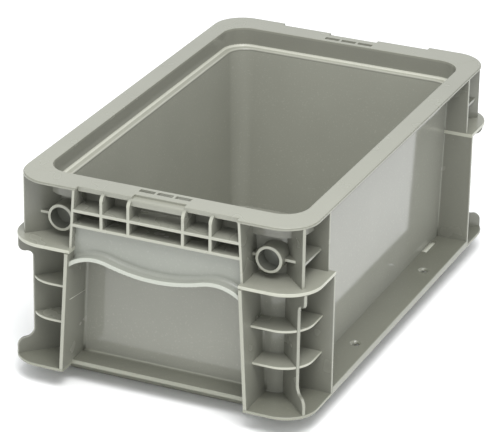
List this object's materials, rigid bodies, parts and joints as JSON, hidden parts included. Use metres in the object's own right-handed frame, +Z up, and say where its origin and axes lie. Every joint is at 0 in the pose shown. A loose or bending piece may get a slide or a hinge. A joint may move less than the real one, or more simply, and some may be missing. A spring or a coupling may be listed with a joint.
{
  "type": "stackable storage bin",
  "caption": "Straight-wall stacking bin with ribbed corner posts, wave-lipped hand grips under end grids, and a stepped rim that takes the skirt of the bin above.",
  "frame": {"origin": "centre of the footprint, on the ground under the stacking skirt", "axes": "+Z up, +Y along the length from the front end to the rear end, +X to the right"},
  "size_m": [0.188, 0.3048, 0.127],
  "materials": {
    "tub_skin": "fine-grained semi-gloss moulded polyolefin",
    "panel_skin": "fine-grained semi-gloss moulded polyolefin",
    "frame_skin": "fine-grained semi-gloss moulded polyolefin"
  },
  "bodies": {
    "root": {"apron_front": "panel_skin", "apron_rear": "panel_skin", "base_flange_corner_front_left": "frame_skin", "base_flange_corner_front_right": "frame_skin", "base_flange_corner_rear_left": "frame_skin", "base_flange_corner_rear_right": "frame_skin", "base_flange_side_left": "frame_skin", "base_flange_side_right": "frame_skin", "end_rim_front": "frame_skin", "end_rim_rear": "frame_skin", "end_sill_front": "frame_skin", "end_sill_rear": "frame_skin", "end_wall_front": "tub_skin", "end_wall_rear": "tub_skin", "floor": "tub_skin", "floor_ribs": "frame_skin", "handle_grid_front": "frame_skin", "handle_grid_rear": "frame_skin", "long_rim_left": "frame_skin", "long_rim_right": "frame_skin", "long_wall_left": "tub_skin", "long_wall_right": "tub_skin", "lower_diagonal_web_front_left": "frame_skin", "lower_diagonal_web_front_right": "frame_skin", "lower_diagonal_web_rear_left": "frame_skin", "lower_diagonal_web_rear_right": "frame_skin", "lower_inner_plate_front_left": "frame_skin", "lower_inner_plate_front_right": "frame_skin", "lower_inner_plate_rear_left": "frame_skin", "lower_inner_plate_rear_right": "frame_skin", "lower_side_plate_front_left": "frame_skin", "lower_side_plate_front_right": "frame_skin", "lower_side_plate_rear_left": "frame_skin", "lower_side_plate_rear_right": "frame_skin", "mid_flange_front_left": "frame_skin", "mid_flange_front_right": "frame_skin", "mid_flange_rear_left": "frame_skin", "mid_flange_rear_right": "frame_skin", "post_boss_front_left": "frame_skin", "post_boss_front_right": "frame_skin", "post_boss_rear_left": "frame_skin", "post_boss_rear_right": "frame_skin", "post_shelves_front_left": "frame_skin", "post_shelves_front_right": "frame_skin", "post_shelves_rear_left": "frame_skin", "post_shelves_rear_right": "frame_skin", "stacking_recess": "tub_skin", "stacking_skirt": "frame_skin", "tub_corner_front_left": "tub_skin", "tub_corner_front_right": "tub_skin", "tub_corner_rear_left": "tub_skin", "tub_corner_rear_right": "tub_skin", "upper_diagonal_web_front_left": "frame_skin", "upper_diagonal_web_front_right": "frame_skin", "upper_diagonal_web_rear_left": "frame_skin", "upper_diagonal_web_rear_right": "frame_skin", "upper_side_plate_front_left": "frame_skin", "upper_side_plate_front_right": "frame_skin", "upper_side_plate_rear_left": "frame_skin", "upper_side_plate_rear_right": "frame_skin"}
  },
  "joints": []
}
